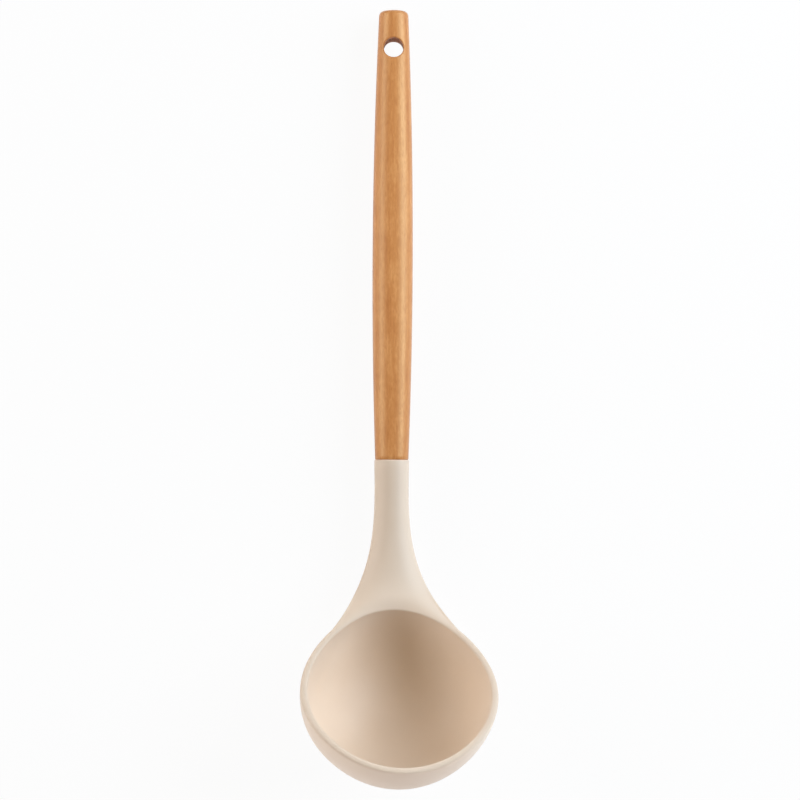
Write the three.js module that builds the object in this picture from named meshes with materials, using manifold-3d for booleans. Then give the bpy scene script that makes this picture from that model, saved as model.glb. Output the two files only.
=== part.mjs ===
// Soup ladle: turned wooden handle, silicone bowl and neck moulded over a nylon core,
// and a grooved steel tang bonded into the handle.
// Millimetres, +Z up. The ladle lies on its back, handle along +Y, mirror plane x = 0,
// with the underside of the bowl and the belly of the handle on z = 0.
import * as THREE from "three";
import { mergeVertices } from "three/addons/utils/BufferGeometryUtils.js";
import Module from "manifold-3d";

const wasm = await Module();
wasm.setup();

// Clearance between neighbouring pieces
const fitGap = 0.3;

// Handle, measured from the joint with the neck towards its free end
const handleLength = 187.5;
const bellyRadius = 8.4;
const bellyFromJoint = 82.8;
const barrelArcRadius = 2330;
const endFillet = 2;
const jointChamfer = 0.4;
const hangHoleRadius = 4.1;
const hangHoleFromEnd = 15.9;

// Bowl, its rim tilted against the handle
const bowlTilt = THREE.MathUtils.degToRad(35);
const bowlReach = 91.8;
const bowlHalfWidth = 37.1;
const bowlHalfLength = 36.9;
const bowlEgg = 0.073;
const bowlPinch = 0.028;
const bowlDepth = 36;
const bowlFullness = 2.3;
const wallThickness = 3;

// Neck and its flare into the bowl
const neckRadius = 7.1;
const neckStraight = 10;
const collarSwell = 0.12;
const collarSwellFromTop = 3;
const collarRound = 0.5;
const flareHalfAngle = THREE.MathUtils.degToRad(45);
const flareGrowth = 2.8;
const flareDepth = 14;
const flareSideShare = 0.5;
const flareArmBack = 10;
const flareArmSide = 16;
const flareArmNeck = 50;
const flareTopAngle = THREE.MathUtils.degToRad(20);
const flareBottomAngle = THREE.MathUtils.degToRad(-40);

// Silicone skin over the core
const wallSkin = 0.75;
const neckSkin = 1.5;
const lipSkin = 3;
const stemRootHalfWidth = 9;
const stemRootHalfHeight = 2;
const stemRootRise = 6;
const stemEndWall = 2;
const lockHoleCount = 8;
const lockHoleRadius = 2.6;
const lockHoleSlope = THREE.MathUtils.degToRad(38);

// Tang and its bond
const tangRadius = 3;
const tangInNeck = 26;
const tangInHandle = 50;
const tangChamfer = 0.6;
const grooveWidth = 2.4;
const grooveDepth = 0.5;
const groovePitch = 6;
const grooveCount = 3;
const bondWall = 0.6;

// Facets
const headAround = 40;
const bowlRings = 6;
const lipRings = 3;
const flareSideRows = 2;
const flareRings = 7;
const stemAround = 24;
const lockHoleAround = 12;
const handleAround = 40;
const handleRings = 12;
const endFilletRings = 3;
const hangHoleAround = 32;
const tangAround = 20;

// Sizes that follow from the ones above
const tangBoreRadius = tangRadius + fitGap;
const bondRadius = tangBoreRadius + bondWall;
const handleBoreRadius = bondRadius + fitGap;
const bondEnd = tangInHandle + fitGap + bondWall;
const handleBoreEnd = bondEnd + fitGap;
const outerHalfLength = bowlHalfLength + wallThickness;
const outerDepth = bowlDepth + wallThickness;

// Farthest reach of the outer bowl's side profile along a direction, given by its two parts
function profileReach(along, across) {
  const q = bowlFullness / (bowlFullness - 1);
  return Math.pow(Math.pow(outerHalfLength * along, q) + Math.pow(outerDepth * across, q), 1 / q);
}

const sinTilt = Math.sin(bowlTilt);
const cosTilt = Math.cos(bowlTilt);
const rimRise = profileReach(sinTilt, cosTilt) - bellyRadius;
const headLength = bowlReach + profileReach(cosTilt, sinTilt);

// Geometry and solids

function toSolid(geometry) {
  const clean = geometry.clone();
  clean.deleteAttribute("normal");
  clean.deleteAttribute("uv");
  const merged = mergeVertices(clean, 1e-4);
  const mesh = new wasm.Mesh({
    numProp: 3,
    vertProperties: new Float32Array(merged.attributes.position.array),
    triVerts: new Uint32Array(merged.index.array),
  });
  return new wasm.Manifold(mesh);
}

function toMesh(name, solid, material) {
  const result = solid.getMesh();
  const geometry = new THREE.BufferGeometry();
  geometry.setAttribute("position", new THREE.BufferAttribute(result.vertProperties, 3));
  geometry.setIndex(new THREE.BufferAttribute(result.triVerts, 1));
  const flat = geometry.toNonIndexed();
  flat.computeVertexNormals();
  const mesh = new THREE.Mesh(flat, material);
  mesh.name = name;
  return mesh;
}

function latheSolid(points, around) {
  return toSolid(new THREE.LatheGeometry(points.map(([r, y]) => new THREE.Vector2(r, y)), around));
}

function barrelRadius(y) {
  return bellyRadius - (y - bellyFromJoint) ** 2 / (2 * barrelArcRadius);
}

// Bowl coordinates: across the rim, along it towards the handle, and up out of the bowl
function fromBowl(across, along, up) {
  return new THREE.Vector3(
    across,
    -bowlReach + along * cosTilt + up * sinTilt,
    rimRise - along * sinTilt + up * cosTilt,
  );
}

// Point at an offset outside the inner edge of the rim, drawn in by a scale: the rim is an oval
// that narrows towards the handle and is a little pinched between its ends and its sides
function rimPoint(offset, angle, scale, up) {
  const drawn = scale * (1 - bowlPinch * Math.sin(2 * angle) ** 2);
  const across = (bowlHalfWidth + offset) * Math.cos(angle) * (1 - bowlEgg * Math.sin(angle));
  const along = (bowlHalfLength + offset) * Math.sin(angle);
  return fromBowl(across * drawn, along * drawn, up);
}

function wallPoint(offset, depth, angle) {
  const fullDepth = bowlDepth + offset;
  const scale = Math.pow(1 - Math.pow(depth / fullDepth, bowlFullness), 1 / bowlFullness);
  return rimPoint(offset, angle, scale, -depth);
}

// Depths and slopes of the wall's side profile
function depthOf(slope, offset) {
  return (bowlDepth + offset) * Math.pow(Math.sin(slope), 2 / bowlFullness);
}

function slopeOf(depth, offset) {
  return Math.asin(Math.pow(depth / (bowlDepth + offset), bowlFullness / 2));
}

// Points and triangles of a body built up from rows of points
class Skin {
  constructor() {
    this.points = [];
    this.triangles = [];
  }

  addPoint(point) {
    return this.points.push(point) - 1;
  }

  addRow(points) {
    return points.map((point) => this.addPoint(point));
  }

  addQuad(a, b, c, d) {
    const p = this.points;
    if (p[a].distanceTo(p[c]) <= p[b].distanceTo(p[d])) {
      this.triangles.push(a, c, b, a, d, c);
    } else {
      this.triangles.push(a, d, b, b, d, c);
    }
  }

  // Strip between two closed rows, leaving out the columns that skip names
  addStrip(low, high, skip = () => false) {
    for (let i = 0; i < low.length; i += 1) {
      const next = (i + 1) % low.length;
      if (!skip(i)) {
        this.addQuad(low[i], low[next], high[next], high[i]);
      }
    }
  }

  addStartCap(row, point) {
    const pole = this.addPoint(point);
    row.forEach((index, i) => this.triangles.push(pole, index, row[(i + 1) % row.length]));
  }

  addEndCap(row, point) {
    const pole = this.addPoint(point);
    row.forEach((index, i) => this.triangles.push(pole, row[(i + 1) % row.length], index));
  }

  toSolid() {
    const geometry = new THREE.BufferGeometry().setFromPoints(this.points);
    geometry.setIndex(this.triangles);
    return toSolid(geometry);
  }
}

const columnAngles = Array.from({ length: headAround }, (_, column) => (2 * Math.PI * column) / headAround);

// Solid half egg under the rim, for the core's outside and for the space inside it
function bowlSolid(offset, top) {
  const skin = new Skin();
  const topDepth = Math.max(0, -top);
  const start = slopeOf(topDepth, offset);
  const rows = [columnAngles.map((angle) => rimPoint(offset, angle, 1, top))];
  for (let i = 0; i < bowlRings; i += 1) {
    const depth = depthOf(THREE.MathUtils.lerp(start, Math.PI / 2, i / bowlRings), offset);
    rows.push(columnAngles.map((angle) => wallPoint(offset, depth, angle)));
  }
  if (top <= 0) {
    rows.shift();
  }
  const indices = rows.map((row) => skin.addRow(row));
  for (let i = 0; i + 1 < indices.length; i += 1) {
    skin.addStrip(indices[i], indices[i + 1]);
  }
  skin.addStartCap(indices[0], fromBowl(0, 0, top));
  skin.addEndCap(indices[indices.length - 1], fromBowl(0, 0, -bowlDepth - offset));
  return skin.toSolid();
}

// Stem of the core in the neck, round at the handle and flat at the bowl
function stemSolid(grow, end) {
  const skin = new Skin();
  const radius = neckRadius - neckSkin - fitGap + grow;
  const underside = stemRootRise - stemRootHalfHeight;
  const drop = (rimRise - bowlHalfLength * sinTilt - underside) / cosTilt;
  const root = -bowlReach + bowlHalfLength * cosTilt - drop * sinTilt - grow;
  const sections = [
    [end, radius, radius, 0],
    [-tangInNeck - stemEndWall, radius, radius, 0],
    [root, stemRootHalfWidth + grow, stemRootHalfHeight + grow, stemRootRise],
  ];
  const rows = sections.map(([y, halfWidth, halfHeight, rise]) =>
    skin.addRow(Array.from({ length: stemAround }, (_, i) => {
      const angle = (2 * Math.PI * i) / stemAround;
      return new THREE.Vector3(halfWidth * Math.cos(angle), y, rise + halfHeight * Math.sin(angle));
    })));
  skin.addStrip(rows[1], rows[0]);
  skin.addStrip(rows[2], rows[1]);
  skin.addStartCap(rows[2], new THREE.Vector3(0, root, stemRootRise));
  skin.addEndCap(rows[0], new THREE.Vector3(0, end, 0));
  return skin.toSolid();
}

// Bowl shell and stem of the core, or the space it fills in the silicone when grown
function coreBody(grow, end) {
  const inset = wallSkin + fitGap - grow;
  const outside = bowlSolid(wallThickness - inset, -lipSkin - fitGap + grow);
  const inside = bowlSolid(inset, bowlDepth);
  return outside.add(stemSolid(grow, end)).subtract(inside);
}

// Outside of the silicone: bowl with its lip, flare and neck in one closed skin
function headSolid() {
  const { lerp, smoothstep } = THREE.MathUtils;
  const skin = new Skin();
  const lipRadius = wallThickness / 2;
  const back = Math.PI / 2;

  // Share of the way from the middle of the back to the shoulder of the flare
  const fromBack = (angle) => Math.min(1, Math.abs(angle - back) / flareHalfAngle);
  const towardsSide = (angle) => smoothstep(fromBack(angle), 0, 1);

  // Half a turn over the wall, whose crown stops at the back where it runs level into the flare
  const crownTurn = (angle) => Math.PI / 2 - bowlTilt * (1 - towardsSide(angle));

  function lipPoint(turn, angle) {
    const out = lipRadius * (1 - Math.cos(turn));
    return rimPoint(out, angle, 1, -lipRadius * (1 - Math.sin(turn)));
  }

  // Foot of the flare on the outer wall: deepest at the back, rounded up to the shoulders
  function footDepth(angle) {
    const share = lerp(flareSideShare, 1, Math.sqrt(1 - fromBack(angle) ** 2));
    return lerp(lipRadius, flareDepth, share);
  }

  // Rows from the floor of the cavity over the lip and down the outside
  const rows = [];
  for (let i = 1; i < bowlRings; i += 1) {
    const depth = depthOf((Math.PI / 2) * (1 - i / bowlRings), 0);
    rows.push((angle) => wallPoint(0, depth, angle));
  }
  for (let i = 0; i <= lipRings; i += 1) {
    rows.push((angle) => lipPoint((crownTurn(angle) * i) / lipRings, angle));
  }
  const crownRow = rows.length - 1;
  for (let i = 1; i <= lipRings; i += 1) {
    rows.push((angle) => lipPoint(lerp(Math.PI / 2, Math.PI, i / lipRings), angle));
  }
  for (let i = 1; i <= flareSideRows; i += 1) {
    rows.push((angle) => {
      const depth = lerp(lipRadius, footDepth(angle), i / flareSideRows);
      return wallPoint(wallThickness, depth, angle);
    });
  }
  const footRow = rows.length - 1;
  for (let i = 1; i < bowlRings; i += 1) {
    rows.push((angle) => {
      const slope = lerp(slopeOf(footDepth(angle), wallThickness), Math.PI / 2, i / bowlRings);
      return wallPoint(wallThickness, depthOf(slope, wallThickness), angle);
    });
  }

  const halfColumns = Math.round((flareHalfAngle / (2 * Math.PI)) * headAround);
  const firstColumn = headAround / 4 - halfColumns;
  const lastColumn = headAround / 4 + halfColumns;
  const grid = rows.map((row) => skin.addRow(columnAngles.map(row)));
  for (let row = 0; row + 1 < rows.length; row += 1) {
    const onFlare = row >= crownRow && row < footRow;
    skin.addStrip(grid[row], grid[row + 1], (column) =>
      onFlare && column >= firstColumn && column < lastColumn);
  }
  skin.addStartCap(grid[0], fromBowl(0, 0, -bowlDepth));
  skin.addEndCap(grid[grid.length - 1], fromBowl(0, 0, -bowlDepth - wallThickness));

  // Half width of the flare along the neck, from the round neck out to the shoulder on the lip
  const shoulder = lipPoint(Math.PI, back - flareHalfAngle);
  const flareHalfWidth = (y) => neckRadius + (shoulder.x - neckRadius)
    * Math.pow((y + neckStraight) / (shoulder.y + neckStraight), flareGrowth);
  const shareOfWidth = (point) => point.x / flareHalfWidth(point.y);

  // Slope at which the flare leaves the bowl, over the crown of the lip and up the outer wall
  const crownSlope = (angle) => -Math.tan(bowlTilt * towardsSide(angle));

  function wallSlope(angle) {
    const step = 1e-3;
    const depth = footDepth(angle);
    const at = (turn, drop) => wallPoint(wallThickness, depth + drop, angle + turn);
    const normal = at(step, 0).sub(at(-step, 0)).cross(at(0, step).sub(at(0, -step)));
    const foot = at(0, 0);
    const widening = (flareHalfWidth(foot.y + step) - flareHalfWidth(foot.y - step)) / (2 * step);
    return -(normal.x * shareOfWidth(foot) * widening + normal.y) / normal.z;
  }

  // Rails of the flare: each leaves the bowl at its slope and keeps its place across the flare
  const neckPoint = (angle, radius, y) =>
    new THREE.Vector3(radius * Math.cos(angle), y, radius * Math.sin(angle));
  const loop = [];
  const neckAngles = [];
  const rails = [];

  function addRail(row, column, slope, neckAngle) {
    const angle = columnAngles[column];
    const start = skin.points[grid[row][column]];
    const end = neckPoint(neckAngle, neckRadius, -neckStraight);
    const arm = lerp(flareArmBack, flareArmSide, towardsSide(angle));
    const first = new THREE.Vector2(start.y, start.z);
    const last = new THREE.Vector2(end.y, end.z);
    const lead = new THREE.Vector2(1, slope).setLength(arm).add(first);
    const tail = new THREE.Vector2(end.y - flareArmNeck, end.z);
    const side = new THREE.CubicBezierCurve(first, lead, tail, last);
    const startShare = shareOfWidth(start);
    loop.push(grid[row][column]);
    neckAngles.push(neckAngle);
    rails.push((t) => {
      const { x: y, y: z } = side.getPoint(t);
      const share = lerp(startShare, Math.cos(neckAngle), smoothstep(t, 0, 1));
      return new THREE.Vector3(share * flareHalfWidth(y), y, z);
    });
  }

  const columns = lastColumn - firstColumn;
  const sideRows = footRow - crownRow;
  const topLeft = Math.PI - flareTopAngle;
  const bottomLeft = Math.PI - flareBottomAngle;
  const bottomRight = 2 * Math.PI + flareBottomAngle;
  const topRight = 2 * Math.PI + flareTopAngle;
  const sideSlope = (share) =>
    lerp(crownSlope(back + flareHalfAngle), wallSlope(back + flareHalfAngle), share);
  for (let i = 0; i < columns; i += 1) {
    const column = firstColumn + i;
    addRail(crownRow, column, crownSlope(columnAngles[column]), lerp(flareTopAngle, topLeft, i / columns));
  }
  for (let i = 0; i < sideRows; i += 1) {
    addRail(crownRow + i, lastColumn, sideSlope(i / sideRows), lerp(topLeft, bottomLeft, i / sideRows));
  }
  for (let i = 0; i < columns; i += 1) {
    const column = lastColumn - i;
    addRail(footRow, column, wallSlope(columnAngles[column]), lerp(bottomLeft, bottomRight, i / columns));
  }
  for (let i = 0; i < sideRows; i += 1) {
    addRail(footRow - i, firstColumn, sideSlope(1 - i / sideRows), lerp(bottomRight, topRight, i / sideRows));
  }

  // Rings along the rails, then the round neck up to its collar
  const rings = [loop];
  for (let i = 1; i <= flareRings; i += 1) {
    rings.push(skin.addRow(rails.map((rail) => rail(i / flareRings))));
  }
  const collarRadius = neckRadius + collarSwell;
  const collar = [
    [neckRadius, -neckStraight / 2],
    [collarRadius, -collarSwellFromTop],
    [collarRadius, -collarRound],
    [collarRadius - collarRound, 0],
  ];
  for (const [radius, y] of collar) {
    rings.push(skin.addRow(neckAngles.map((angle) => neckPoint(angle, radius, y))));
  }
  for (let ring = 0; ring + 1 < rings.length; ring += 1) {
    skin.addStrip(rings[ring], rings[ring + 1]);
  }
  skin.addEndCap(rings[rings.length - 1], new THREE.Vector3(0, 0, 0));
  return skin.toSolid();
}

// Pegs through the bowl's wall where the silicone joins through the core
function lockPegs(radius) {
  let pegs = null;
  for (let i = 0; i < lockHoleCount; i += 1) {
    const angle = (2 * Math.PI * (i + 0.5)) / lockHoleCount;
    const direction = fromBowl(
      Math.cos(angle) * Math.cos(lockHoleSlope),
      Math.sin(angle) * Math.cos(lockHoleSlope),
      -Math.sin(lockHoleSlope),
    ).sub(fromBowl(0, 0, 0));
    const peg = new THREE.CylinderGeometry(radius, radius, bowlHalfWidth, lockHoleAround);
    peg.applyQuaternion(new THREE.Quaternion().setFromUnitVectors(new THREE.Vector3(0, 1, 0), direction));
    const middle = fromBowl(0, 0, 0).addScaledVector(direction, bowlHalfWidth);
    peg.translate(middle.x, middle.y, middle.z);
    pegs = pegs ? pegs.add(toSolid(peg)) : toSolid(peg);
  }
  return pegs;
}

// Tang, or the space round it when grown
function tangSolid(grow) {
  const r = tangRadius + grow;
  const low = -tangInNeck - grow;
  const high = tangInHandle + grow;
  const grooves = [];
  for (let i = 0; i < grooveCount; i += 1) {
    grooves.push(-tangInNeck + groovePitch * (i + 1));
    grooves.push(tangInHandle - groovePitch * (i + 1));
  }
  grooves.sort((a, b) => a - b);
  const half = grooveWidth / 2 - grow;
  const profile = [[0, low], [r - tangChamfer, low], [r, low + tangChamfer]];
  for (const y of grooves) {
    profile.push([r, y - half], [r - grooveDepth, y - half], [r - grooveDepth, y + half], [r, y + half]);
  }
  profile.push([r, high - tangChamfer], [r - tangChamfer, high], [0, high]);
  return latheSolid(profile, tangAround);
}

function bondSolid() {
  const outline = [[0, fitGap], [bondRadius, fitGap], [bondRadius, bondEnd], [0, bondEnd]];
  return latheSolid(outline, tangAround).subtract(tangSolid(fitGap));
}

function handleSolid() {
  const profile = [[0, handleBoreEnd], [handleBoreRadius, handleBoreEnd], [handleBoreRadius, fitGap]];
  profile.push([barrelRadius(0) - jointChamfer, fitGap]);
  const filletStart = handleLength - endFillet;
  for (let i = 0; i <= handleRings; i += 1) {
    const y = THREE.MathUtils.lerp(fitGap + jointChamfer, filletStart, i / handleRings);
    profile.push([barrelRadius(y), y]);
  }
  const flat = barrelRadius(filletStart) - endFillet;
  for (let i = 1; i <= endFilletRings; i += 1) {
    const turn = ((Math.PI / 2) * i) / endFilletRings;
    profile.push([flat + endFillet * Math.cos(turn), filletStart + endFillet * Math.sin(turn)]);
  }
  profile.push([0, handleLength]);
  const holeLength = 4 * bellyRadius;
  const hole = new THREE.CylinderGeometry(hangHoleRadius, hangHoleRadius, holeLength, hangHoleAround);
  hole.rotateX(Math.PI / 2);
  hole.translate(0, handleLength - hangHoleFromEnd, 0);
  return latheSolid(profile, handleAround).subtract(toSolid(hole));
}

function coreSolid() {
  return coreBody(0, 0).subtract(tangSolid(fitGap)).subtract(lockPegs(lockHoleRadius));
}

function siliconeSolid() {
  const space = coreBody(fitGap, 2 * fitGap).subtract(lockPegs(lockHoleRadius - fitGap));
  return headSolid().subtract(space);
}

const beech = new THREE.MeshStandardMaterial({ color: 0xc99663, roughness: 0.55, metalness: 0 });
const silicone = new THREE.MeshStandardMaterial({ color: 0xd8c6b0, roughness: 0.6, metalness: 0 });
const nylon = new THREE.MeshStandardMaterial({ color: 0x3a3a3c, roughness: 0.5, metalness: 0 });
const steel = new THREE.MeshStandardMaterial({ color: 0xb9bcc0, roughness: 0.3, metalness: 1 });
const epoxy = new THREE.MeshStandardMaterial({ color: 0xd9b56a, roughness: 0.25, metalness: 0 });

// Assembly, with the joint plane at y = 0 and the handle's axis at z = 0
const assembly = new THREE.Group();
assembly.name = "assembly";
assembly.position.set(0, (headLength - handleLength) / 2, bellyRadius);
assembly.add(toMesh("wood_handle", handleSolid(), beech));
assembly.add(toMesh("silicone_head", siliconeSolid(), silicone));
assembly.add(toMesh("nylon_core", coreSolid(), nylon));
assembly.add(toMesh("steel_tang", tangSolid(0), steel));
assembly.add(toMesh("epoxy_bond", bondSolid(), epoxy));

const ladle = new THREE.Group();
ladle.name = "soup_ladle";
ladle.add(assembly);

export default ladle;
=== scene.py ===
# Soup ladle: a turned beech handle, and a silicone bowl and neck moulded over a nylon core.
# Metres, +Z up. The ladle lies on its back, handle along +Y, mirror plane at x = 0.
import math

import bmesh
import bpy
from mathutils import Matrix, Vector


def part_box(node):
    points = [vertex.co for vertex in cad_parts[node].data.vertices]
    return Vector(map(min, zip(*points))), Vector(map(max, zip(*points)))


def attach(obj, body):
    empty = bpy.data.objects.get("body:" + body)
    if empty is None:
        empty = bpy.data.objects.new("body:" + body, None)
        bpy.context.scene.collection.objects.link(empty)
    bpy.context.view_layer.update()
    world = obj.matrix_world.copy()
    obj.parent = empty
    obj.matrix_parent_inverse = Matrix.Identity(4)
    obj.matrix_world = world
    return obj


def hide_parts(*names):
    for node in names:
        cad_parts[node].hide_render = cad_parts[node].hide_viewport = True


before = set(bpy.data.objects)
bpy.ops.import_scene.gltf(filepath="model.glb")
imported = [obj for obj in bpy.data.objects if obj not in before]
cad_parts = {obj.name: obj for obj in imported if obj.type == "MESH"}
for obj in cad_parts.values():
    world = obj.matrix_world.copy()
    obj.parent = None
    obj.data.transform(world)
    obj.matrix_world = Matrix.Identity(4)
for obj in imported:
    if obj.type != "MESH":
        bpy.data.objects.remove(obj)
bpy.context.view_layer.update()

MM = 0.001

# Places read from the frame: the joint of handle and neck, and the handle's free end
FIT_GAP = 0.3 * MM
JOINT_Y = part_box("wood_handle")[0].y - FIT_GAP
HANDLE_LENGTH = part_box("wood_handle")[1].y - JOINT_Y

# Handle, measured from the joint
BELLY_RADIUS = 8.4 * MM
BELLY_FROM_JOINT = 82.8 * MM
BARREL_ARC_RADIUS = 2330 * MM
END_FILLET = 2 * MM
JOINT_CHAMFER = 0.25 * MM
JOINT_SEAM = 0.02 * MM
BORE_RADIUS = 4.2 * MM
BORE_DEPTH = 51.2 * MM
HANG_HOLE_RADIUS = 4.1 * MM
HANG_HOLE_FROM_END = 15.9 * MM
HANG_HOLE_EASE = 0.7 * MM
HANG_HOLE_ROLL = math.radians(6)
AXIS_HEIGHT = BELLY_RADIUS

# Bowl, its rim tilted against the handle
BOWL_TILT = math.radians(35)
BOWL_REACH = 91.8 * MM
BOWL_HALF_WIDTH = 37.1 * MM
BOWL_HALF_LENGTH = 36.9 * MM
BOWL_EGG = 0.073
BOWL_PINCH = 0.028
BOWL_DEPTH = 36 * MM
BOWL_FULLNESS = 2.3
WALL = 3 * MM
LIP_FULLNESS = 3.0

# Neck and its flare into the bowl
NECK_RADIUS = 7.1 * MM
NECK_STRAIGHT = 10 * MM
COLLAR_SWELL = 0.12 * MM
COLLAR_SWELL_FROM_TOP = 3 * MM
COLLAR_ROUND = 0.5 * MM
FLARE_HALF_ANGLE = math.radians(45)
FLARE_GROWTH = 2.8
FLARE_DEPTH = 14 * MM
FLARE_SIDE_SHARE = 0.5
FLARE_ARM_BACK = 10 * MM
FLARE_ARM_SIDE = 16 * MM
FLARE_ARM_NECK = 50 * MM
FLARE_TOP_ANGLE = math.radians(20)
FLARE_BOTTOM_ANGLE = math.radians(-40)

# Fineness of the meshes
CRISP_EDGE = math.radians(50)
SEAM_MERGE = 0.001 * MM
SOLID_MERGE = 0.002 * MM
HANDLE_FACETS = 96
HANDLE_RINGS = 200
HEAD_COLUMNS = 144
BOWL_ROWS = 36
LIP_ROWS = 8
FLARE_SIDE_ROWS = 10
FLARE_ROWS = 48
COLLAR_ROWS = 5
COLLAR_ROUND_ROWS = 6
HOLE_PATCH_RINGS = 4
HOLE_EASE_RINGS = 4
HOLE_WALL_ROWS = 10

# Light and floor
ROOM_LIGHT = 0.02
LAMP_DISTANCE = 1.0
LAMP_AIM = (0, -40 * MM, 20 * MM)
FLOOR_HALF_WIDTH = 4.0
FLOOR_GREY = 0.9
FLOOR_SHADING = 0.06
FLOOR_SHADING_NEAR = 0.2
FLOOR_SHADING_FAR = 0.7


# Node trees

class Wire:
    """An output socket. A sum written with wires adds its Math nodes to their tree."""

    def __init__(self, nodes, socket):
        self.nodes = nodes
        self.socket = socket

    def other(self, name):
        """Another output of the same node."""
        found = [socket for socket in self.socket.node.outputs if socket.identifier == name]
        return Wire(self.nodes, found[0])

    def math(self, operation, other=0.0):
        return self.nodes.sum(operation, self, other)

    def __add__(self, other):
        return self.nodes.sum("ADD", self, other)

    def __radd__(self, other):
        return self.nodes.sum("ADD", other, self)

    def __sub__(self, other):
        return self.nodes.sum("SUBTRACT", self, other)

    def __rsub__(self, other):
        return self.nodes.sum("SUBTRACT", other, self)

    def __mul__(self, other):
        return self.nodes.sum("MULTIPLY", self, other)

    def __rmul__(self, other):
        return self.nodes.sum("MULTIPLY", other, self)

    def __truediv__(self, other):
        return self.nodes.sum("DIVIDE", self, other)


class Nodes:
    """A node tree that is written as calls."""

    def __init__(self, tree):
        self.tree = tree
        tree.nodes.clear()

    def make(self, kind, settings=None, inputs=None, output=None):
        """Makes one node: first its settings, then its inputs by identifier. Returns an output."""
        node = self.tree.nodes.new(kind)
        for name, value in (settings or {}).items():
            if name == "stops":
                set_stops(node.color_ramp.elements, value)
            else:
                setattr(node, name, value)
        sockets = {socket.identifier: socket for socket in node.inputs}
        for name, value in (inputs or {}).items():
            if isinstance(value, Wire):
                self.tree.links.new(value.socket, sockets[name])
            else:
                sockets[name].default_value = value
        found = [socket for socket in node.outputs if output in (None, socket.identifier)]
        return Wire(self, found[0]) if found else None

    def sum(self, operation, first, second):
        values = {"Value": first, "Value_001": second}
        return self.make("ShaderNodeMath", {"operation": operation}, values)


def set_stops(elements, stops):
    while len(elements) < len(stops):
        elements.new(1.0)
    for element, (position, colour) in zip(elements, stops):
        element.position = position
        element.color = (*colour, 1.0)


def linear(red, green, blue):
    """Linear colour of a colour that is read off in 8-bit steps of the screen."""
    def channel(step):
        share = step / 255
        return share / 12.92 if share <= 0.04045 else ((share + 0.055) / 1.055) ** 2.4

    return channel(red), channel(green), channel(blue)


def new_material(name):
    material = bpy.data.materials.new(name)
    material.use_nodes = True
    return material, Nodes(material.node_tree)


# Materials

def stretched(nodes, along, across):
    """Object coordinates with so many turns of a pattern per metre along the handle and across it."""
    place = nodes.make("ShaderNodeTexCoord", output="Object")
    scale = Vector((across, along, across))
    return nodes.make("ShaderNodeMapping", inputs={"Vector": place, "Scale": scale})


def noise(nodes, place, detail=2.0, roughness=0.5):
    values = {"Vector": place, "Scale": 1.0, "Detail": detail, "Roughness": roughness}
    return nodes.make("ShaderNodeTexNoise", inputs=values, output="Fac")


def ramp(nodes, factor, *stops):
    return nodes.make("ShaderNodeValToRGB", {"stops": stops}, {"Fac": factor}, "Color")


def band(nodes, value, low, high):
    """0 up to low, 1 from high on, and a soft step between them."""
    settings = {"interpolation_type": "SMOOTHSTEP"}
    values = {"Value": value, "From Min": low, "From Max": high}
    return nodes.make("ShaderNodeMapRange", settings, values, "Result")


def mixed(nodes, factor, first, second):
    values = {"Factor_Float": factor, "A_Color": first, "B_Color": second}
    return nodes.make("ShaderNodeMix", {"data_type": "RGBA"}, values, "Result_Color")


def finish_material(nodes, **inputs):
    shader = nodes.make("ShaderNodeBsdfPrincipled", inputs=inputs)
    nodes.make("ShaderNodeOutputMaterial", inputs={"Surface": shader})


def bump(nodes, height, distance):
    values = {"Height": height, "Distance": distance, "Strength": 1.0}
    return nodes.make("ShaderNodeBump", inputs=values)


def hole_wall(nodes):
    """1 on the wall of the hanging hole, and 0 on the barrel round it."""
    place = nodes.make("ShaderNodeTexCoord", output="Object")
    centre = Vector((0, JOINT_Y + HANDLE_LENGTH - HANG_HOLE_FROM_END, AXIS_HEIGHT))
    values = {"Vector": place, "Center": centre, "Axis": Vector((0, 1, 0)), "Angle": HANG_HOLE_ROLL}
    turned = nodes.make("ShaderNodeVectorRotate", {"rotation_type": "AXIS_ANGLE"}, values)
    from_centre = nodes.make(
        "ShaderNodeVectorMath",
        {"operation": "SUBTRACT"},
        {"Vector": turned, "Vector_001": centre},
    )
    spot = nodes.make("ShaderNodeSeparateXYZ", inputs={"Vector": from_centre}, output="X")
    reach = (spot * spot + spot.other("Y") * spot.other("Y")).math("SQRT")
    return 1 - band(nodes, reach, HANG_HOLE_RADIUS, HANG_HOLE_RADIUS + HANG_HOLE_EASE)


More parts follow.
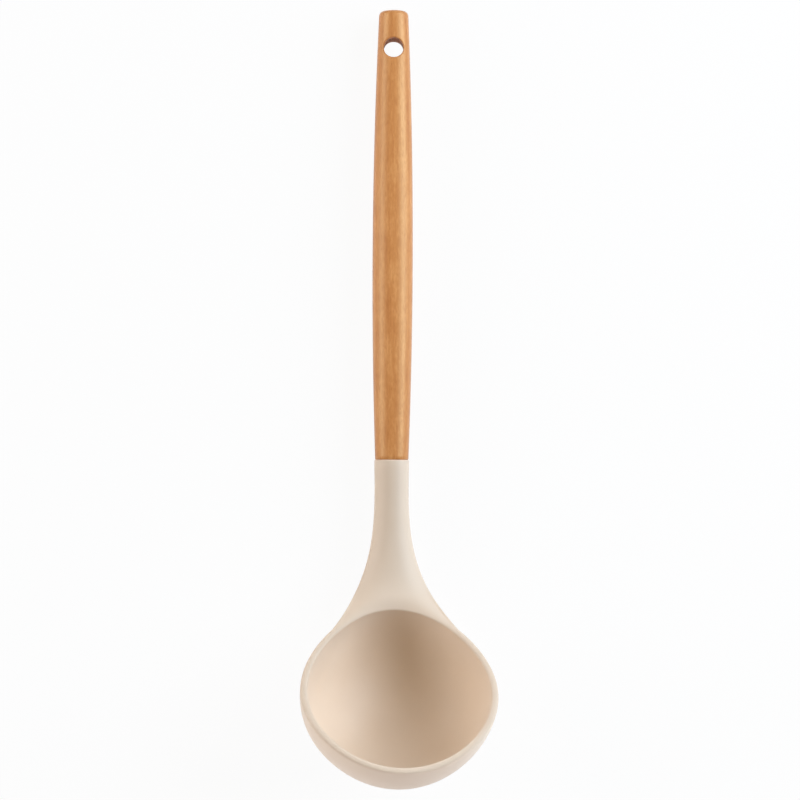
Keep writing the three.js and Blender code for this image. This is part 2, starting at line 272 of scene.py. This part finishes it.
def beech_material():
    """Oiled beech: long growth streaks, soft mottling, fine fibres and short dark flecks. The wall
    of the hanging hole is rougher, as raw drilled wood, and carries a darker brown as painted shade inside
    the hole."""
    material, nodes = new_material("oiled_beech")
    dark_wood = linear(185, 112, 55)
    middle_wood = linear(203, 133, 72)
    pale_wood = linear(224, 158, 96)
    fleck_brown = (*linear(176, 98, 46), 1.0)
    # Darker brown painted on the wall of the hanging hole as the hole's shade
    hole_shade_brown = (*linear(176, 112, 66), 1.0)
    years = noise(nodes, stretched(nodes, along=7, across=330), detail=1.0)
    streaks = noise(nodes, stretched(nodes, along=55, across=900))
    mottle = noise(nodes, stretched(nodes, along=90, across=260))
    figure = noise(nodes, stretched(nodes, along=330, across=1100), roughness=0.6)
    fibres = noise(nodes, stretched(nodes, along=160, across=2600), detail=3.0)
    cells = nodes.make(
        "ShaderNodeTexVoronoi",
        inputs={"Vector": stretched(nodes, along=400, across=1900), "Scale": 1.0},
        output="Distance",
    )
    pick = nodes.make("ShaderNodeSeparateColor", inputs={"Color": cells.other("Color")}, output="Red")
    flecks = (1 - band(nodes, cells, 0.1, 0.45)) * band(nodes, pick, 0.4, 0.8)
    raw_wall_and_shade = hole_wall(nodes)
    wood = ramp(
        nodes,
        years * 0.27 + streaks * 0.2 + mottle * 0.22 + figure * 0.24 + fibres * 0.07,
        (0.36, dark_wood),
        (0.5, middle_wood),
        (0.64, pale_wood),
    )
    flecked = mixed(nodes, flecks * 0.4, wood, fleck_brown)
    # The hole's wall is pulled halfway to that darker brown as painted shade; the same mask also makes the
    # raw drilled wall rougher
    colour = mixed(nodes, raw_wall_and_shade * 0.5, flecked, hole_shade_brown)
    finish_material(
        nodes,
        **{
            "Base Color": colour,
            "Roughness": 0.37 + fibres * 0.1 + flecks * 0.08 + raw_wall_and_shade * 0.4,
            "Specular IOR Level": 0.85,
            "Specular Tint": (1.0, 0.9, 0.55, 1.0),
            "Sheen Weight": 0.5,
            "Sheen Roughness": 0.35,
            "Normal": bump(nodes, fibres * 0.6 - flecks, 0.016 * MM),
        },
    )
    return material


def silicone_material():
    """Matte cream silicone: a faint cloud in its colour, a fine moulded grain and a soft sheen."""
    material, nodes = new_material("matte_silicone")
    deep_cream = linear(230, 209, 186)
    light_cream = linear(234, 214, 192)
    cloud = noise(nodes, stretched(nodes, along=40, across=40))
    grain = noise(nodes, stretched(nodes, along=5200, across=5200))
    colour = ramp(nodes, cloud * 0.8 + grain * 0.2, (0.35, deep_cream), (0.65, light_cream))
    finish_material(
        nodes,
        **{
            "Base Color": colour,
            "Roughness": 0.43 + cloud * 0.08 + grain * 0.06,
            "Specular IOR Level": 0.4,
            "Sheen Weight": 0.24,
            "Sheen Roughness": 0.5,
            "Normal": bump(nodes, grain, 0.02 * MM),
        },
    )
    return material


def nylon_material():
    """Dark nylon with a moulded grain and faint flow marks along the stem."""
    material, nodes = new_material("moulded_nylon")
    grain = noise(nodes, stretched(nodes, along=3000, across=3000))
    flow = noise(nodes, stretched(nodes, along=60, across=240))
    colour = ramp(nodes, flow, (0.3, linear(54, 54, 57)), (0.7, linear(64, 64, 66)))
    finish_material(
        nodes,
        **{
            "Base Color": colour,
            "Roughness": 0.42 + grain * 0.16,
            "Normal": bump(nodes, grain, 0.02 * MM),
        },
    )
    return material


def steel_material():
    """Steel rod with the fine rings of the lathe and a slight stain."""
    material, nodes = new_material("turned_steel")
    marks = noise(nodes, stretched(nodes, along=9000, across=60), detail=3.0)
    stain = noise(nodes, stretched(nodes, along=160, across=400))
    colour = ramp(nodes, stain, (0.3, linear(176, 180, 184)), (0.7, linear(196, 199, 202)))
    finish_material(
        nodes,
        **{
            "Base Color": colour,
            "Metallic": 1.0,
            "Roughness": 0.24 + marks * 0.18,
            "Normal": bump(nodes, marks, 0.01 * MM),
        },
    )
    return material


def epoxy_material():
    """Amber adhesive with runs along the tang and small pits."""
    material, nodes = new_material("cured_epoxy")
    flow = noise(nodes, stretched(nodes, along=120, across=500))
    pits = noise(nodes, stretched(nodes, along=2400, across=2400), detail=1.0)
    colour = ramp(nodes, flow, (0.3, linear(206, 166, 92)), (0.7, linear(226, 190, 120)))
    finish_material(
        nodes,
        **{
            "Base Color": colour,
            "Roughness": 0.16 + pits * 0.14,
            "Normal": bump(nodes, pits, 0.02 * MM),
        },
    )
    return material


# Meshes

def new_piece(name, mesh, material):
    mesh.materials.clear()
    mesh.materials.append(material)
    piece = bpy.data.objects.new(name, mesh)
    bpy.context.scene.collection.objects.link(piece)
    return piece


def add_row(shape, points):
    return [shape.verts.new(point) for point in points]


def add_strip(shape, low, high, skip=()):
    """Quads between two closed rows of the same length, leaving out the columns in skip."""
    count = len(low)
    for column in range(count):
        after = (column + 1) % count
        if column not in skip:
            shape.faces.new((low[column], low[after], high[after], high[column]))


def add_cap(shape, row, point):
    pole = shape.verts.new(point)
    for column, vertex in enumerate(row):
        shape.faces.new((vertex, row[(column + 1) % len(row)], pole))


def finish_mesh(shape, name):
    """Plain mesh of a closed shape, faces outwards, smooth except at its crisp edges."""
    bmesh.ops.recalc_face_normals(shape, faces=shape.faces)
    mesh = bpy.data.meshes.new(name)
    shape.to_mesh(mesh)
    shape.free()
    mesh.shade_smooth()
    mesh.set_sharp_from_angle(angle=CRISP_EDGE)
    return mesh


def lerp(first, last, share):
    return first + (last - first) * share


def smoothstep(share):
    held = min(1, max(0, share))
    return held * held * (3 - 2 * held)


# Handle

def barrel_radius(along):
    return BELLY_RADIUS - (along - BELLY_FROM_JOINT) ** 2 / (2 * BARREL_ARC_RADIUS)


def turned_blank(material):
    """Barrel of the handle with its rounded end, from a tree that bends a grid round the axis."""
    tree = bpy.data.node_groups.new("turned_blank", "GeometryNodeTree")
    nodes = Nodes(tree)
    sizes = {
        "Start": JOINT_SEAM + JOINT_CHAMFER,
        "Length": HANDLE_LENGTH,
        "Belly Radius": BELLY_RADIUS,
        "Belly From Joint": BELLY_FROM_JOINT,
        "Arc Radius": BARREL_ARC_RADIUS,
        "End Fillet": END_FILLET,
        "Joint Y": JOINT_Y,
        "Axis Height": AXIS_HEIGHT,
        "Facets": HANDLE_FACETS,
        "Rings": HANDLE_RINGS,
    }
    tree.interface.new_socket("Mesh", in_out="OUTPUT", socket_type="NodeSocketGeometry")
    sockets = {}
    for name, size in sizes.items():
        kind = "NodeSocketInt" if isinstance(size, int) else "NodeSocketFloat"
        sockets[name] = tree.interface.new_socket(name, in_out="INPUT", socket_type=kind).identifier
    given = nodes.make("NodeGroupInput")
    size = {name: given.other(identifier) for name, identifier in sockets.items()}

    grid = nodes.make(
        "GeometryNodeMeshGrid",
        inputs={
            "Size X": 1.0,
            "Size Y": 1.0,
            "Vertices X": size["Facets"] + 1,
            "Vertices Y": size["Rings"] + 1,
        },
        output="Mesh",
    )
    spot = nodes.make("ShaderNodeSeparateXYZ", inputs={"Vector": nodes.make("GeometryNodeInputPosition")})
    turn = (spot.other("X") + 0.5) * math.tau
    share = spot.other("Y") + 0.5

    # Rings crowd towards the free end, where the fillet turns over
    along = size["Start"] + (size["Length"] - size["Start"]) * (share * (math.pi / 2)).math("SINE")
    fillet_start = size["Length"] - size["End Fillet"]
    on_barrel = along.math("MINIMUM", fillet_start) - size["Belly From Joint"]
    into_fillet = (along - fillet_start).math("MAXIMUM", 0.0)
    fillet = size["End Fillet"]
    inset = (fillet * fillet - into_fillet * into_fillet).math("MAXIMUM", 0.0).math("SQRT") - fillet
    radius = size["Belly Radius"] - on_barrel * on_barrel / (size["Arc Radius"] * 2.0) + inset
    bent = nodes.make(
        "ShaderNodeCombineXYZ",
        inputs={
            "X": radius * turn.math("COSINE"),
            "Y": size["Joint Y"] + along,
            "Z": size["Axis Height"] + radius * turn.math("SINE"),
        },
    )
    placed = nodes.make("GeometryNodeSetPosition", inputs={"Geometry": grid, "Position": bent})
    closed = nodes.make("GeometryNodeMergeByDistance", inputs={"Geometry": placed, "Distance": SEAM_MERGE})
    real = nodes.make("GeometryNodeRealizeInstances", inputs={"Geometry": closed})
    painted = nodes.make("GeometryNodeSetMaterial", inputs={"Geometry": real, "Material": material})
    nodes.make("NodeGroupOutput", inputs={tree.interface.items_tree[0].identifier: painted})

    piece = new_piece("turned_handle", bpy.data.meshes.new("turned_handle"), material)
    modifier = piece.modifiers.new("turned_blank", "NODES")
    modifier.node_group = tree
    for name, value in sizes.items():
        modifier[sockets[name]] = value
    evaluated = piece.evaluated_get(bpy.context.evaluated_depsgraph_get())
    blank = bpy.data.meshes.new_from_object(evaluated)
    piece.modifiers.remove(modifier)
    return piece, blank


def open_ring(shape, wanted):
    """Corners on the open edges of a shape that are wanted."""
    corners = {corner for edge in shape.edges if edge.is_boundary for corner in edge.verts}
    return [corner for corner in corners if wanted(corner.co)]


def round_axis(corner):
    return math.atan2(corner.co.z - AXIS_HEIGHT, corner.co.x)


def ring_points(ring, radius, along):
    """A ring round the axis, with a point for each corner of the ring that it follows."""
    turns = [round_axis(corner) for corner in ring]
    return [
        Vector((radius * math.cos(turn), JOINT_Y + along, AXIS_HEIGHT + radius * math.sin(turn)))
        for turn in turns
    ]


def face_joint_end(shape):
    """Chamfer, flat face and blind bore at the end that meets the neck."""
    ring = open_ring(shape, lambda place: place.y < JOINT_Y + BELLY_RADIUS)
    ring.sort(key=round_axis)
    steps = [
        (barrel_radius(JOINT_SEAM) - JOINT_CHAMFER, JOINT_SEAM),
        (BORE_RADIUS, JOINT_SEAM),
        (BORE_RADIUS, BORE_DEPTH),
    ]
    for radius, along in steps:
        following = add_row(shape, ring_points(ring, radius, along))
        add_strip(shape, ring, following)
        ring = following
    add_cap(shape, ring, Vector((0, JOINT_Y + BORE_DEPTH, AXIS_HEIGHT)))


def face_free_end(shape):
    ring = open_ring(shape, lambda place: place.y > JOINT_Y + HANDLE_LENGTH - END_FILLET)
    ring.sort(key=round_axis)
    flat = barrel_radius(HANDLE_LENGTH - END_FILLET) - END_FILLET
    for share in (0.75, 0.5, 0.25):
        following = add_row(shape, ring_points(ring, flat * share, HANDLE_LENGTH))
        add_strip(shape, ring, following)
        ring = following
    add_cap(shape, ring, Vector((0, JOINT_Y + HANDLE_LENGTH, AXIS_HEIGHT)))


def drill_hang_hole(shape):
    """Hole across the handle with eased edges, worked into the faces of the barrel."""
    hole_along = HANDLE_LENGTH - HANG_HOLE_FROM_END
    patch_margin = 1.6 * MM
    patch = HANG_HOLE_RADIUS + patch_margin

    def over_hole(place):
        return abs(place.x) < patch and abs(place.y - JOINT_Y - hole_along) < patch

    def barrel_height(across, along):
        return math.sqrt(barrel_radius(hole_along + along) ** 2 - across ** 2)

    cut = [face for face in shape.faces if over_hole(face.calc_center_median())]
    bmesh.ops.delete(shape, geom=cut, context="FACES")
    rims = []
    for side in (1, -1):
        near = 1.5 * patch
        rim = open_ring(
            shape,
            lambda place: abs(place.y - JOINT_Y - hole_along) < near
            and (place.z - AXIS_HEIGHT) * side > 0,
        )

        def round_hole(corner):
            return math.atan2(corner.co.y - JOINT_Y - hole_along, corner.co.x)

        def place(reach, turn, sink=0.0):
            across = reach * math.cos(turn)
            along = reach * math.sin(turn)
            height = side * (barrel_height(across, along) - sink)
            return Vector((across, JOINT_Y + hole_along + along, AXIS_HEIGHT + height))

        rim.sort(key=round_hole)
        turns = [round_hole(corner) for corner in rim]
        reaches = [math.hypot(corner.co.x, corner.co.y - JOINT_Y - hole_along) for corner in rim]
        edge = HANG_HOLE_RADIUS + HANG_HOLE_EASE
        for step in range(1, HOLE_PATCH_RINGS + 1):
            points = [
                place(lerp(reach, edge, step / HOLE_PATCH_RINGS), turn)
                for reach, turn in zip(reaches, turns)
            ]
            following = add_row(shape, points)
            add_strip(shape, rim, following)
            rim = following
        for step in range(1, HOLE_EASE_RINGS + 1):
            share = step / HOLE_EASE_RINGS
            points = []
            for turn in turns:
                lead = place(edge, turn).lerp(place(HANG_HOLE_RADIUS, turn), share)
                tail = place(HANG_HOLE_RADIUS, turn).lerp(
                    place(HANG_HOLE_RADIUS, turn, HANG_HOLE_EASE), share)
                points.append(lead.lerp(tail, share))
            following = add_row(shape, points)
            add_strip(shape, rim, following)
            rim = following
        rims.append(rim)
    top, bottom = rims
    row = top
    for step in range(1, HOLE_WALL_ROWS):
        share = step / HOLE_WALL_ROWS
        points = [high.co.lerp(low.co, share) for high, low in zip(top, bottom)]
        following = add_row(shape, points)
        add_strip(shape, row, following)
        row = following
    add_strip(shape, row, bottom)


def make_handle(material):
    piece, blank = turned_blank(material)
    shape = bmesh.new()
    shape.from_mesh(blank)
    face_joint_end(shape)
    face_free_end(shape)
    drill_hang_hole(shape)
    axis_foot = Vector((0, 0, AXIS_HEIGHT))
    roll = Matrix.Rotation(-HANG_HOLE_ROLL, 3, "Y")
    bmesh.ops.rotate(shape, cent=axis_foot, matrix=roll, verts=shape.verts)
    piece.data = finish_mesh(shape, "turned_handle")
    piece.data.materials.append(material)
    bpy.data.meshes.remove(blank)
    return piece


# Bowl and neck

def profile_reach(along, across):
    """Farthest reach of the outer bowl's side profile along a direction, given by its two parts."""
    q = BOWL_FULLNESS / (BOWL_FULLNESS - 1)
    long_part = ((BOWL_HALF_LENGTH + WALL) * along) ** q
    deep_part = ((BOWL_DEPTH + WALL) * across) ** q
    return (long_part + deep_part) ** (1 / q)


RIM_RISE = profile_reach(math.sin(BOWL_TILT), math.cos(BOWL_TILT)) - BELLY_RADIUS
LIP_RADIUS = WALL / 2
BACK = math.pi / 2


def from_bowl(across, along, up):
    """Place of a point that is given across the rim, along it towards the handle, and up out of it."""
    return Vector((
        across,
        along * math.cos(BOWL_TILT) + up * math.sin(BOWL_TILT) - BOWL_REACH,
        up * math.cos(BOWL_TILT) - along * math.sin(BOWL_TILT) + RIM_RISE,
    ))


def rim_point(offset, angle, scale, up):
    """Point outside the rim's inner edge: an oval, narrower towards the handle and a little pinched."""
    drawn = scale * (1 - BOWL_PINCH * math.sin(2 * angle) ** 2)
    across = (BOWL_HALF_WIDTH + offset) * math.cos(angle) * (1 - BOWL_EGG * math.sin(angle))
    along = (BOWL_HALF_LENGTH + offset) * math.sin(angle)
    return from_bowl(across * drawn, along * drawn, up)


def wall_point(offset, depth, angle):
    sunk = (depth / (BOWL_DEPTH + offset)) ** BOWL_FULLNESS
    return rim_point(offset, angle, (1 - sunk) ** (1 / BOWL_FULLNESS), -depth)


def depth_of(slope, offset):
    return (BOWL_DEPTH + offset) * math.sin(slope) ** (2 / BOWL_FULLNESS)


def slope_of(depth, offset):
    return math.asin((depth / (BOWL_DEPTH + offset)) ** (BOWL_FULLNESS / 2))


def lip_point(turn, angle):
    """Point of the lip where its face has turned so far from inwards, over upwards, to outwards. Its
    section is a half of a full oval, flatter on top than a half circle."""
    q = LIP_FULLNESS / (LIP_FULLNESS - 1)
    inwards = abs(math.cos(turn))
    upwards = abs(math.sin(turn))
    size = (inwards ** q + upwards ** q) ** (1 / q - 1)
    across = math.copysign(inwards ** (q - 1) * size, math.cos(turn))
    rise = upwards ** (q - 1) * size
    return rim_point(LIP_RADIUS * (1 - across), angle, 1, LIP_RADIUS * (rise - 1))


def from_back(angle):
    """Share of the way from the middle of the back to the shoulder of the flare."""
    return min(1, abs(angle - BACK) / FLARE_HALF_ANGLE)


def towards_side(angle):
    return smoothstep(from_back(angle))


def crown_turn(angle):
    """Turn over the lip at its crown, which stops early at the back to run level into the flare."""
    return math.pi / 2 - BOWL_TILT * (1 - towards_side(angle))


def foot_depth(angle):
    """Depth of the flare's foot on the outer wall, deepest at the back."""
    share = lerp(FLARE_SIDE_SHARE, 1, math.sqrt(1 - from_back(angle) ** 2))
    return lerp(LIP_RADIUS, FLARE_DEPTH, share)


SHOULDER = lip_point(math.pi, BACK - FLARE_HALF_ANGLE)


def flare_half_width(y):
    share = (y + NECK_STRAIGHT) / (SHOULDER.y + NECK_STRAIGHT)
    return NECK_RADIUS + (SHOULDER.x - NECK_RADIUS) * max(0, share) ** FLARE_GROWTH


def share_of_width(point):
    return point.x / flare_half_width(point.y)


def crown_slope(angle):
    return -math.tan(BOWL_TILT * towards_side(angle))


def wall_slope(angle):
    """Slope at which a rail leaves the outer wall, within the wall's own tangent plane."""
    step = 0.001 * MM
    turn = 0.001
    depth = foot_depth(angle)
    across = wall_point(WALL, depth, angle + turn) - wall_point(WALL, depth, angle - turn)
    down = wall_point(WALL, depth + step, angle) - wall_point(WALL, depth - step, angle)
    normal = across.cross(down)
    foot = wall_point(WALL, depth, angle)
    widening = (flare_half_width(foot.y + step) - flare_half_width(foot.y - step)) / (2 * step)
    return -(normal.x * share_of_width(foot) * widening + normal.y) / normal.z


def neck_point(angle, radius, y):
    return Vector((radius * math.cos(angle), y, radius * math.sin(angle)))


def flare_rail(start, angle, slope, neck_angle):
    """Points from the bowl to the round neck, leaving the bowl at its slope."""
    end = neck_point(neck_angle, NECK_RADIUS, -NECK_STRAIGHT)
    arm = lerp(FLARE_ARM_BACK, FLARE_ARM_SIDE, towards_side(angle))
    first = Vector((start.y, start.z))
    lead = first + Vector((1, slope)).normalized() * arm
    tail = Vector((end.y - FLARE_ARM_NECK, end.z))
    last = Vector((end.y, end.z))
    start_share = share_of_width(start)
    points = []
    for step in range(1, FLARE_ROWS + 1):
        t = step / FLARE_ROWS
        y, z = (
            first * (1 - t) ** 3
            + lead * (3 * t * (1 - t) ** 2)
            + tail * (3 * t * t * (1 - t))
            + last * t ** 3
        )
        share = lerp(start_share, math.cos(neck_angle), smoothstep(t))
        points.append(Vector((share * flare_half_width(y), y, z)))
    return points


def bowl_rows():
    """Rows round the bowl, from its floor over the lip and down the outside, as functions of the
    angle, with the numbers of the rows at the lip's crown and at the flare's foot."""
    rows = []
    for step in range(1, BOWL_ROWS):
        depth = depth_of(math.pi / 2 * (1 - step / BOWL_ROWS), 0)
        rows.append(lambda angle, depth=depth: wall_point(0, depth, angle))
    for step in range(LIP_ROWS + 1):
        rows.append(lambda angle, share=step / LIP_ROWS: lip_point(crown_turn(angle) * share, angle))
    crown = len(rows) - 1
    for step in range(1, LIP_ROWS + 1):
        turn = lerp(math.pi / 2, math.pi, step / LIP_ROWS)
        rows.append(lambda angle, turn=turn: lip_point(turn, angle))
    for step in range(1, FLARE_SIDE_ROWS + 1):
        rows.append(lambda angle, share=step / FLARE_SIDE_ROWS: wall_point(
            WALL, lerp(LIP_RADIUS, foot_depth(angle), share), angle))
    foot = len(rows) - 1
    for step in range(1, BOWL_ROWS):
        rows.append(lambda angle, share=step / BOWL_ROWS: wall_point(
            WALL, depth_of(lerp(slope_of(foot_depth(angle), WALL), math.pi / 2, share), WALL), angle))
    return rows, crown, foot


def core_space(shape):
    """Adds the space that the core fills, from a copy of the solid's own inner faces, and joins its
    mouth to the open end of the neck."""
    inner = bmesh.new()
    inner.from_mesh(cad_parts["silicone_head"].data)
    bmesh.ops.remove_doubles(inner, verts=inner.verts, dist=SOLID_MERGE)
    end = max(corner.co.y for corner in inner.verts)
    close = 0.01 * MM
    end_faces = [face for face in inner.faces if all(end - c.co.y < close for c in face.verts)]
    bmesh.ops.delete(inner, geom=end_faces, context="FACES")
    skin = {max(inner.verts, key=lambda corner: abs(corner.co.x))}
    edge_of_skin = set(skin)
    while edge_of_skin:
        reached = {edge.other_vert(corner) for corner in edge_of_skin for edge in corner.link_edges}
        edge_of_skin = reached - skin
        skin |= edge_of_skin
    bmesh.ops.delete(inner, geom=list(skin), context="VERTS")
    space = bpy.data.meshes.new("core_space")
    inner.to_mesh(space)
    inner.free()
    shape.from_mesh(space)
    bpy.data.meshes.remove(space)
    mouth = [edge for edge in shape.edges if edge.is_boundary]
    bmesh.ops.triangle_fill(shape, use_beauty=True, edges=mouth, normal=Vector((0, 1, 0)))


def make_head(material):
    shape = bmesh.new()
    angles = [math.tau * column / HEAD_COLUMNS for column in range(HEAD_COLUMNS)]
    rows, crown, foot = bowl_rows()
    half_columns = round(FLARE_HALF_ANGLE / math.tau * HEAD_COLUMNS)
    first = HEAD_COLUMNS // 4 - half_columns
    last = HEAD_COLUMNS // 4 + half_columns
    grid = [add_row(shape, [row(angle) for angle in angles]) for row in rows]
    for number in range(len(rows) - 1):
        on_flare = crown <= number < foot
        add_strip(shape, grid[number], grid[number + 1], range(first, last) if on_flare else ())
    add_cap(shape, grid[0], from_bowl(0, 0, -BOWL_DEPTH))
    add_cap(shape, grid[-1], from_bowl(0, 0, -BOWL_DEPTH - WALL))

    # Corners round the flare's root, each with its slope and its place round the neck
    columns = last - first
    sides = foot - crown
    top_left = math.pi - FLARE_TOP_ANGLE
    bottom_left = math.pi - FLARE_BOTTOM_ANGLE
    bottom_right = math.tau + FLARE_BOTTOM_ANGLE
    top_right = math.tau + FLARE_TOP_ANGLE
    shoulder = BACK + FLARE_HALF_ANGLE

    def side_slope(share):
        return lerp(crown_slope(shoulder), wall_slope(shoulder), share)

    root = []
    for step in range(columns):
        column = first + step
        neck_angle = lerp(FLARE_TOP_ANGLE, top_left, step / columns)
        root.append((crown, column, crown_slope(angles[column]), neck_angle))
    for step in range(sides):
        neck_angle = lerp(top_left, bottom_left, step / sides)
        root.append((crown + step, last, side_slope(step / sides), neck_angle))
    for step in range(columns):
        column = last - step
        neck_angle = lerp(bottom_left, bottom_right, step / columns)
        root.append((foot, column, wall_slope(angles[column]), neck_angle))
    for step in range(sides):
        neck_angle = lerp(bottom_right, top_right, step / sides)
        root.append((foot - step, first, side_slope(1 - step / sides), neck_angle))

    ring = [grid[row][column] for row, column, slope, neck_angle in root]
    rails = [
        flare_rail(grid[row][column].co, angles[column], slope, neck_angle)
        for row, column, slope, neck_angle in root
    ]
    for step in range(FLARE_ROWS):
        following = add_row(shape, [rail[step] for rail in rails])
        add_strip(shape, ring, following)
        ring = following

    # Straight neck up to its collar, whose edge is rounded over
    collar_radius = NECK_RADIUS + COLLAR_SWELL
    collar = []
    for step in range(1, COLLAR_ROWS + 1):
        share = step / COLLAR_ROWS
        radius = lerp(NECK_RADIUS, collar_radius, smoothstep(share))
        collar.append((radius, lerp(-NECK_STRAIGHT, -COLLAR_SWELL_FROM_TOP, share)))
    for step in range(COLLAR_ROUND_ROWS + 1):
        turn = math.pi / 2 * step / COLLAR_ROUND_ROWS
        radius = collar_radius - COLLAR_ROUND * (1 - math.cos(turn))
        collar.append((radius, -COLLAR_ROUND * (1 - math.sin(turn))))
    for radius, y in collar:
        points = [neck_point(neck_angle, radius, y) for row, column, slope, neck_angle in root]
        following = add_row(shape, points)
        add_strip(shape, ring, following)
        ring = following

    under_flare = [corner for corner in shape.verts if not corner.link_faces]
    bmesh.ops.delete(shape, geom=under_flare, context="VERTS")
    place = Vector((0, JOINT_Y, AXIS_HEIGHT))
    for corner in shape.verts:
        corner.co += place
    core_space(shape)
    return new_piece("moulded_head", finish_mesh(shape, "moulded_head"), material)


# Stage, lamps and camera

def seen_rays(nodes):
    """1 in the rays that show the white background: to the camera, in gloss, through clear pieces."""
    path = nodes.make("ShaderNodeLightPath", output="Is Camera Ray")
    glossy = path.math("MAXIMUM", path.other("Is Glossy Ray"))
    return glossy.math("MAXIMUM", path.other("Is Transmission Ray"))


def stage_material():
    """White to the camera and in gloss, with a little of the floor's own shading near the ladle."""
    material, nodes = new_material("stage_white")
    place = nodes.make("ShaderNodeTexCoord", output="Object")
    reach = nodes.make("ShaderNodeVectorMath", {"operation": "LENGTH"}, {"Vector": place}, "Value")
    shading = FLOOR_SHADING * (1 - band(nodes, reach, FLOOR_SHADING_NEAR, FLOOR_SHADING_FAR))
    white = nodes.make("ShaderNodeEmission", inputs={"Color": (1, 1, 1, 1), "Strength": 1.0})
    grey = (FLOOR_GREY, FLOOR_GREY, FLOOR_GREY, 1)
    matte = nodes.make("ShaderNodeBsdfDiffuse", inputs={"Color": grey})
    shown = nodes.make(
        "ShaderNodeMixShader",
        inputs={"Fac": seen_rays(nodes) * (1 - shading), "Shader": matte, "Shader_001": white},
    )
    clear = nodes.make("ShaderNodeBsdfTransparent")
    under = nodes.make("ShaderNodeNewGeometry", output="Backfacing")
    surface = nodes.make(
        "ShaderNodeMixShader",
        inputs={"Fac": under, "Shader": shown, "Shader_001": clear},
    )
    nodes.make("ShaderNodeOutputMaterial", inputs={"Surface": surface})
    return material


def make_floor():
    half = FLOOR_HALF_WIDTH
    corners = ((-half, -half), (half, -half), (half, half), (-half, half))
    shape = bmesh.new()
    shape.faces.new(add_row(shape, [Vector((x, y, 0)) for x, y in corners]))
    mesh = bpy.data.meshes.new("floor")
    shape.to_mesh(mesh)
    shape.free()
    new_piece("floor", mesh, stage_material())


def make_world():
    """White room that lights at a low level."""
    world = bpy.data.worlds.new("studio")
    bpy.context.scene.world = world
    world.use_nodes = True
    nodes = Nodes(world.node_tree)
    light = nodes.make("ShaderNodeBackground", inputs={"Color": (1, 1, 1, 1), "Strength": ROOM_LIGHT})
    white = nodes.make("ShaderNodeBackground", inputs={"Color": (1, 1, 1, 1), "Strength": 1.0})
    shown = nodes.make(
        "ShaderNodeMixShader",
        inputs={"Fac": seen_rays(nodes), "Shader": light, "Shader_001": white},
    )
    nodes.make("ShaderNodeOutputWorld", inputs={"Surface": shown})


def make_lamp(name, azimuth, elevation, width, height, watts, tint):
    """Panel aimed at the ladle, at an azimuth from +X towards +Y."""
    aim = Vector(LAMP_AIM)
    level = math.cos(math.radians(elevation))
    place = aim + LAMP_DISTANCE * Vector((
        level * math.cos(math.radians(azimuth)),
        level * math.sin(math.radians(azimuth)),
        math.sin(math.radians(elevation)),
    ))
    lamp = bpy.data.lights.new(name, "AREA")
    lamp.color = tint
    lamp.shape = "RECTANGLE"
    lamp.size = width
    lamp.size_y = height
    lamp.energy = watts
    holder = bpy.data.objects.new(name, lamp)
    bpy.context.scene.collection.objects.link(holder)
    holder.location = place
    holder.rotation_euler = (aim - place).to_track_quat("-Z", "Y").to_euler()


def make_camera():
    """Camera above the ladle, a little to its left and past the bowl, with the ladle just off centre."""
    distance = 1150 * MM
    view_width = 333.1 * MM
    sideways = math.radians(6.4)
    lengthways = math.radians(2.0)
    roll = math.radians(0.25)
    offset_right = 3.31 * MM
    offset_up = -2.28 * MM
    target = Vector((0, 0, AXIS_HEIGHT))
    view = Vector((
        math.sin(sideways),
        math.sin(lengthways),
        -math.cos(sideways) * math.cos(lengthways),
    )).normalized()
    right = view.cross(Vector((0, 1, 0))).normalized()
    up = right.cross(view)
    right, up = (
        right * math.cos(roll) + up * math.sin(roll),
        up * math.cos(roll) - right * math.sin(roll),
    )
    data = bpy.data.cameras.new("camera")
    data.lens = data.sensor_width * distance / view_width
    camera = bpy.data.objects.new("camera", data)
    bpy.context.scene.collection.objects.link(camera)
    camera.matrix_world = Matrix((right, up, -view)).transposed().to_4x4()
    camera.location = target + right * offset_right + up * offset_up - view * distance
    bpy.context.scene.camera = camera


make_camera()
make_floor()
make_world()
make_lamp(
    "right_panel", azimuth=24, elevation=30,
    width=1.0, height=0.65, watts=12.8, tint=(0.805, 0.895, 1.0),
)
make_lamp(
    "left_panel", azimuth=165, elevation=17,
    width=0.95, height=0.55, watts=7.2, tint=(1.0, 0.98, 0.98),
)
make_lamp(
    "front_panel", azimuth=-90, elevation=12,
    width=0.55, height=0.4, watts=3.95, tint=(1.0, 0.95, 0.97),
)
make_lamp(
    "back_panel", azimuth=90, elevation=68,
    width=0.6, height=0.4, watts=1.1, tint=(1.0, 0.85, 0.66),
)

handle = make_handle(beech_material())
head = make_head(silicone_material())
for piece, node, slot in ((handle, "wood_handle", "beech"), (head, "silicone_head", "silicone")):
    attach(piece, "root")
    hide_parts(node)

inner_finishes = {
    "nylon_core": nylon_material(),
    "steel_tang": steel_material(),
    "epoxy_bond": epoxy_material(),
}
for node, material in inner_finishes.items():
    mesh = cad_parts[node].data
    mesh.materials.clear()
    mesh.materials.append(material)

bpy.context.scene.view_settings.view_transform = "Standard"
